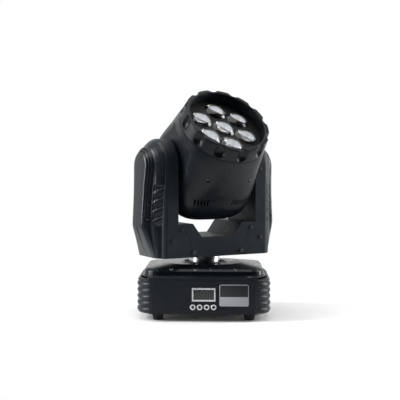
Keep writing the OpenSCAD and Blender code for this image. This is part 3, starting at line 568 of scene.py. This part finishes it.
def cut_away(obj, bm, matrix):
    """Takes a shape drawn in mm out of a piece, and keeps the result as its mesh."""
    cutter_mesh = local_mesh("cutter", bm, matrix)
    cutter = bpy.data.objects.new("cutter", cutter_mesh)
    bpy.context.scene.collection.objects.link(cutter)
    modifier = obj.modifiers.new("cut", "BOOLEAN")
    modifier.operation = "DIFFERENCE"
    modifier.solver = "EXACT"
    modifier.object = cutter
    graph = bpy.context.evaluated_depsgraph_get()
    result = bpy.data.meshes.new_from_object(obj.evaluated_get(graph))
    obj.modifiers.clear()
    obj.data = result
    bpy.data.objects.remove(cutter)
    bpy.data.meshes.remove(cutter_mesh)


# Vent slots: number, pitch, slant in degrees, distance from the middle and size. Screw recesses: radius
# and depth
VENTS, VENT_PITCH, VENT_SLANT, VENT_W = 5, 5, 15, 65.5
VENT_SIZE = (2.2, 16, 10)
RECESS_R, RECESS_DEPTH = 2.9, 10


def slot_cutters():
    """Slanted vent slots at the four corners of the head's rear."""
    bm = bmesh.new()
    size = Matrix.Diagonal((*VENT_SIZE, 1))
    for x, y in CORNERS:
        turn = Matrix.Rotation(math.radians(x * VENT_SLANT), 4, "Y")
        for k in range(VENTS):
            u = x * (VENT_U + VENT_PITCH * (k - VENTS // 2))
            place = Matrix.Translation((u, y * VENT_W, VENT_V))
            bmesh.ops.create_cube(bm, size=1, matrix=place @ turn @ size)
    return bm


def screw_cutters():
    """Round recesses over the four screws that hold the head's shells."""
    bm = bmesh.new()
    turn = Matrix.Rotation(math.radians(90), 4, "X")
    for x, y in CORNERS:
        place = Matrix.Translation((x * HEAD_SCREW_U, y * (HEAD_SCREW_W + RECESS_DEPTH / 2), HEAD_SCREW_V))
        bmesh.ops.create_cone(bm, cap_ends=True, segments=32, radius1=RECESS_R, radius2=RECESS_R,
                              depth=RECESS_DEPTH, matrix=place @ turn)
    return bm


# Middle of a scoop outside the rim's radius and below its top, and the softness of its edge
SCOOP_OUT, SCOOP_DROP, SCOOP_SOFT = 5.9, 9, 0.7
BEZEL_POINTS, BEZEL_STEPS = 720, 44
BEZEL_FOOT, FOOT_ROUND, RIM_ROUND = 0.5, 0.9, 1.2
ROUND_ANGLES = (0.4, 0.8, 1.2, 1.57)
# Depth below the rim and distance outside the bore, down the bezel's inner lip
BEZEL_LIP = ((0.3, 0.15), (0.9, 0), (2.4, 0), (2.5, 0.6), (12, 0.6), (15.4, 0.3))


def scoop_radius(radius, angle, v):
    """Outer radius of the bezel at an angle and height, where the finger scoops are cut into it."""
    pitch = 2 * math.pi / SCOOPS
    off = (angle + pitch / 2) % pitch - pitch / 2
    centre = RIM_R + SCOOP_OUT
    below = max(0, RIM_V - SCOOP_DROP - v)
    room = SCOOP_R**2 - below**2 - (centre * math.sin(off))**2
    if room <= 0:
        return radius
    return soft_min(radius, centre * math.cos(off) - math.sqrt(room), SCOOP_SOFT)


def bezel_row(v, rim=0.0, radius=None):
    """An outline of the bezel: a circle where a radius is given, or else its scooped cone, inset by rim."""
    cone = BEZEL_R + (RIM_R - BEZEL_R) * (v - SHELL_V) / (RIM_V - SHELL_V)
    row = []
    for k in range(BEZEL_POINTS):
        angle = math.radians(k * 360 / BEZEL_POINTS)
        r = scoop_radius(cone, angle, v) - rim if radius is None else radius
        row.append((r * math.cos(angle), r * math.sin(angle), v))
    return row


def add_bezel():
    """Front ring with twelve finger scoops, a rounded rim and a thin inner lip."""
    bm = bmesh.new()
    foot, low = SHELL_V + BEZEL_FOOT, SHELL_V + FOOT_ROUND
    straight = RIM_V - SHELL_V - FOOT_ROUND - RIM_ROUND
    rows = [bezel_row(foot, radius=BEZEL_R - 4), bezel_row(foot, rim=FOOT_ROUND), bezel_row(low)]
    rows += [bezel_row(low + i * straight / BEZEL_STEPS) for i in range(1, BEZEL_STEPS + 1)]
    rows += [bezel_row(RIM_V - RIM_ROUND + RIM_ROUND * math.sin(a), rim=RIM_ROUND * (1 - math.cos(a)))
             for a in ROUND_ANGLES]
    rows += [bezel_row(RIM_V, radius=r) for r in (57.0, RIM_BORE + 0.7)]
    rows += [bezel_row(RIM_V - down, radius=RIM_BORE + out) for down, out in BEZEL_LIP]
    loft(bm, rows)
    bezel = new_piece("bezel", bm, HEAD, "head", "head", sharp=40)
    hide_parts("front_bezel")


def revolve(bm, profile, centre, segments=64, caps=True):
    rows = []
    for r, v in profile:
        rows.append([(centre[0] + r * math.cos(2 * math.pi * k / segments),
                      centre[1] + r * math.sin(2 * math.pi * k / segments), v) for k in range(segments)])
    return loft(bm, rows, cap_first=caps, cap_last=caps)


# Radius and height along a lens's sleeve and dish, and the lens's dome: rise, edge, back and steps
SLEEVE_PROFILE = [(15.7, 75.1), (15.2, 68.0), (15.9, 68.0), (16.1, 75.1)]
DISH_PROFILE = [(0.2, 63.5), (4.0, 63.7), (8.0, 64.4), (11.5, 65.6), (14.0, 67.2), (15.1, 68.4)]
DOME_V, EDGE_V, BACK_V = 4.6, 76.6, 75.2
DOME_STEPS = 16


def lens_centres():
    angles = [math.radians(degrees) for degrees in range(30, 390, 60)]
    return [(0, 0)] + [(LENS_RING * math.cos(angle), LENS_RING * math.sin(angle)) for angle in angles]


def lens_profile():
    """Radius and height along a lens, from the middle of its flat back to the middle of its dome."""
    ball = (LENS_R**2 + DOME_V**2) / (2 * DOME_V)
    middle = EDGE_V + DOME_V - ball
    angles = [math.asin(LENS_R / ball) * i / DOME_STEPS for i in range(DOME_STEPS - 1, 0, -1)]
    dome = [(ball * math.sin(angle), middle + ball * math.cos(angle)) for angle in angles]
    back = [(0.2, BACK_V), (LENS_R - 0.2, BACK_V), (LENS_R, BACK_V + 0.2), (LENS_R, EDGE_V)]
    return back + dome + [(0.2, EDGE_V + DOME_V)]


def add_lenses():
    """Seven moulded lenses with domed fronts, each over a dark sleeve with a bright dish at its foot."""
    profile = lens_profile()
    for number, centre in enumerate(lens_centres()):
        lens = revolved("lens_%d" % number, profile, centre, "lens_clear")
        sleeve = revolved("lens_sleeve_%d" % number, SLEEVE_PROFILE, centre, "lens_black", ring=True)
        dish = revolved("lens_dish_%d" % number, DISH_PROFILE, centre, "reflector", open_end=True)
        if number == 0:
            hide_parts("lenses")
            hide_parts("lens_holders")


def revolved(name, profile, centre, finish_name, ring=False, open_end=False):
    bm = bmesh.new()
    rings = revolve(bm, profile, centre, caps=not (ring or open_end))
    if ring:
        join_rings(bm, rings[-1], rings[0])
    if open_end:
        bm.faces.new(list(reversed(rings[0])))
    return new_piece(name, bm, HEAD, finish_name, "head", sharp=35)


# Outline levels of an arm cover, from the seam to the middle of its outer face. Each has its distance from
# the middle and half depth at the round top, at the waist and at the foot.
COVER_LEVELS = [
    (78.9, 37.4, 84.0, 32.4, 84.0, 32.2), (80.3, 38.4, 85.5, 33.5, 85.5, 33.2),
    (84.0, 36.8, 87.6, 32.6, 87.0, 32.3), (88.5, 33.0, 90.8, 30.6, 89.2, 31.0),
    (91.8, 29.6, 94.6, 27.0, 90.3, 28.8), (93.5, 27.4, 98.0, 22.0, 90.9, 27.2),
    (96.6, 26.6, 103.0, 21.5, 91.3, 26.0), (97.5, 25.6, 103.9, 20.7, 91.5, 25.0),
    (96.6, 24.6, 103.6, 19.7, 91.6, 24.0), (99.4, 23.5, 105.4, 18.7, 91.7, 23.0),
    (100.3, 22.4, 106.1, 17.7, 91.8, 22.0), (99.4, 21.2, 105.7, 16.7, 91.9, 21.0),
    (102.3, 19.9, 107.0, 15.5, 92.0, 20.0), (103.3, 18.0, 107.6, 13.8, 92.1, 18.0),
    (103.7, 14.0, 107.9, 10.5, 92.2, 14.0), (103.9, 8.0, 108.0, 6.0, 92.2, 8.0),
    (103.9, 2.0, 108.0, 1.5, 92.2, 2.0),
]
RIB_PITCH = 13.0
RIB_LOW, RIB_HIGH = 122.0, 176.0
RIB_SLANT, RIB_DEPTH = 26, 1.1
RIB_START, RIB_END, RIB_FADE_IN, RIB_FADE_OUT = 0.06, 0.29, 0.09, 0.25
FOOT_TOP, SIDE_STEP, ARC_STEP = WAIST_Z - 5, 1.2, 3.6


def soft_min(a, b, width):
    h = max(0, min(1, 0.5 + 0.5 * (b - a) / width))
    return b * (1 - h) + a * h - width * h * (1 - h)


def cover_path():
    """Height, angle on the round top and whether it is the rear, along the outline from foot to foot."""
    foot = [YOKE_Z + (FOOT_TOP - YOKE_Z) * i / 8 for i in range(8)]
    side = [FOOT_TOP + i * SIDE_STEP for i in range(int((TILT_Z - WAIST_Z + 5) / SIDE_STEP) + 1)]
    front = [(z, None, False) for z in foot + side]
    arc = [(TILT_Z, math.radians(-90 + i * ARC_STEP), False) for i in range(51)]
    return front + arc + [(z, None, True) for z, _, _ in reversed(front)]


def cover_point(level, depth, z, turn, rear):
    """A point of the cover in the yoke's frame; depth is the place between seam 0 and middle 1."""
    x_top, r_top, x_waist, h_waist, x_foot, h_foot = level
    if turn is not None:
        return (x_top, r_top * math.sin(turn), TILT_Z + r_top * math.cos(turn))
    up = (z - WAIST_Z) / (TILT_Z - WAIST_Z)
    down = (z - YOKE_Z) / (WAIST_Z - YOKE_Z)
    bend = 1.0 if depth < RIB_FADE_OUT else 2.3
    high_h = h_waist + (r_top - h_waist) * (max(0, up) ** bend if up > 0 else up)
    x = soft_min(x_foot + (x_waist - x_foot) * down, x_waist + (x_top - x_waist) * up, 2.0)
    half = high_h if up > 0 else h_foot + (h_waist - h_foot) * down
    if RIB_START < depth < RIB_END and RIB_LOW < z < RIB_HIGH:
        phase = ((z - RIB_LOW + RIB_SLANT * depth) / RIB_PITCH) % 1
        groove = ease(0, 0.08, phase) * (1 - ease(0.12, 0.85, phase))
        fade = ease(RIB_START, RIB_FADE_IN, depth) * (1 - ease(RIB_FADE_OUT, RIB_END, depth))
        x -= RIB_DEPTH * groove * fade
        half -= RIB_DEPTH * groove * fade
    return (x, half if rear else -half, z)


def cover_levels():
    """The named levels with finer ones between those of the ribbed shoulder."""
    last = len(COVER_LEVELS) - 1
    fine = []
    for i, (a, b) in enumerate(zip(COVER_LEVELS, COVER_LEVELS[1:])):
        steps = 10 if 1 <= i <= 4 else 3
        for k in range(steps):
            t = k / steps
            fine.append((tuple(p + (q - p) * t for p, q in zip(a, b)), (i + t) / last))
    fine.append((COVER_LEVELS[last], 1.0))
    return fine


def add_arm_cover(side, node):
    """An arm's outer cover: stepped teardrop bands on its face and slanted ribs down its edges."""
    bm = bmesh.new()
    sign = -1 if side == "left" else 1
    path = cover_path()
    rows = []
    for level, depth in cover_levels():
        points = [cover_point(level, depth, *place) for place in path]
        rows.append([(sign * x, y, z) for x, y, z in points])
    rings = loft(bm, rows, closed=False)
    bm.faces.new(rings[-1])
    bm.faces.new([ring[0] for ring in rings] + [ring[-1] for ring in reversed(rings)])
    cover = new_piece(side + "_cover", bm, YOKE, "casing", "yoke", sharp=38)
    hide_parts(node)


def rounded_outline(width, height, radius, steps=8):
    points = []
    for corner, (x, z) in enumerate(((1, 1), (-1, 1), (-1, -1), (1, -1))):
        for k in range(steps + 1):
            angle = math.radians(90 * corner + 90 * k / steps)
            points.append((x * (width / 2 - radius) + radius * math.cos(angle),
                           z * (height / 2 - radius) + radius * math.sin(angle)))
    return points


def add_label():
    """Thin blank plate with rounded corners."""
    bm = bmesh.new()
    rows = []
    for y, inset in ((0, 0), (-0.22, 0), (-0.3, 0.12)):
        outline = rounded_outline(LABEL_W - 2 * inset, LABEL_H - 2 * inset, LABEL_CORNER - inset)
        rows.append([(LABEL_X + x, PANEL_Y + y, LABEL_Z + z) for x, z in outline])
    loft(bm, rows, cap_first=True, cap_last=True)
    label = new_piece("label", bm, BASE, "label", "base")
    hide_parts("label_plate")


# Middle of each of the seven segments of a digit, as shares of half its width and height, and whether it
# lies level
SEGMENTS = [
    (0, 1, True), (0, 0, True), (0, -1, True),
    (-1, 0.5, False), (1, 0.5, False), (-1, -0.5, False), (1, -0.5, False),
]
DISPLAY_X, DISPLAY_Z = 0.35, 27.1
DIGITS, DIGIT_PITCH, DIGIT_SLANT = 4, 6.3, 0.12
DIGIT_HALF_W, DIGIT_HALF_H = 1.95, 4.1
LEVEL_BAR, UPRIGHT_BAR, POINT = (1.55, 0.34), (0.34, 1.65), (0.38, 0.38)
POINT_X = 3.0
DIGIT_BACK, DIGIT_FRONT = PANEL_Y - 0.40, PANEL_Y - 0.46


def add_digits():
    """Four unlit seven-segment digits and their points, slanted, just in front of the dark window."""
    bm = bmesh.new()
    for digit in range(DIGITS):
        middle = DISPLAY_X + (digit - (DIGITS - 1) / 2) * DIGIT_PITCH
        for x, z, level in SEGMENTS:
            half = LEVEL_BAR if level else UPRIGHT_BAR
            add_chip(bm, middle + x * DIGIT_HALF_W, DISPLAY_Z + z * DIGIT_HALF_H, half)
        add_chip(bm, middle + POINT_X, DISPLAY_Z - DIGIT_HALF_H, POINT)
    digits = new_piece("display_digits", bm, BASE, "digit", "base")


def add_chip(bm, x, z, half):
    """A flat six-sided mark with pointed ends."""
    wide, high = half
    tip = min(wide, high)
    if wide > high:
        outline = [(-wide, 0), (-wide + tip, -high), (wide - tip, -high),
                   (wide, 0), (wide - tip, high), (-wide + tip, high)]
    else:
        outline = [(0, -high), (wide, -high + tip), (wide, high - tip),
                   (0, high), (-wide, high - tip), (-wide, -high + tip)]
    rows = [[(x + p + DIGIT_SLANT * (z + q - DISPLAY_Z), y, z + q) for p, q in outline]
            for y in (DIGIT_BACK, DIGIT_FRONT)]
    loft(bm, rows, cap_first=True, cap_last=True)


add_camera()
add_world()
add_floor()
for lamp in LAMPS:
    add_lamp(*lamp)
dress_nodes()
head_front = head_shell("head_front", SPLIT_V, SHELL_V, "head_front_shell")
cut_away(head_front, screw_cutters(), HEAD)
head_rear = head_shell("head_rear", -REAR_V, SPLIT_V - 0.1, "head_rear_shell")
cut_away(head_rear, slot_cutters(), HEAD)
add_bezel()
add_arm_cover("left", "left_arm_cover")
add_arm_cover("right", "right_arm_cover")
add_lenses()
add_label()
add_digits()

bpy.context.scene.view_settings.view_transform = "Standard"
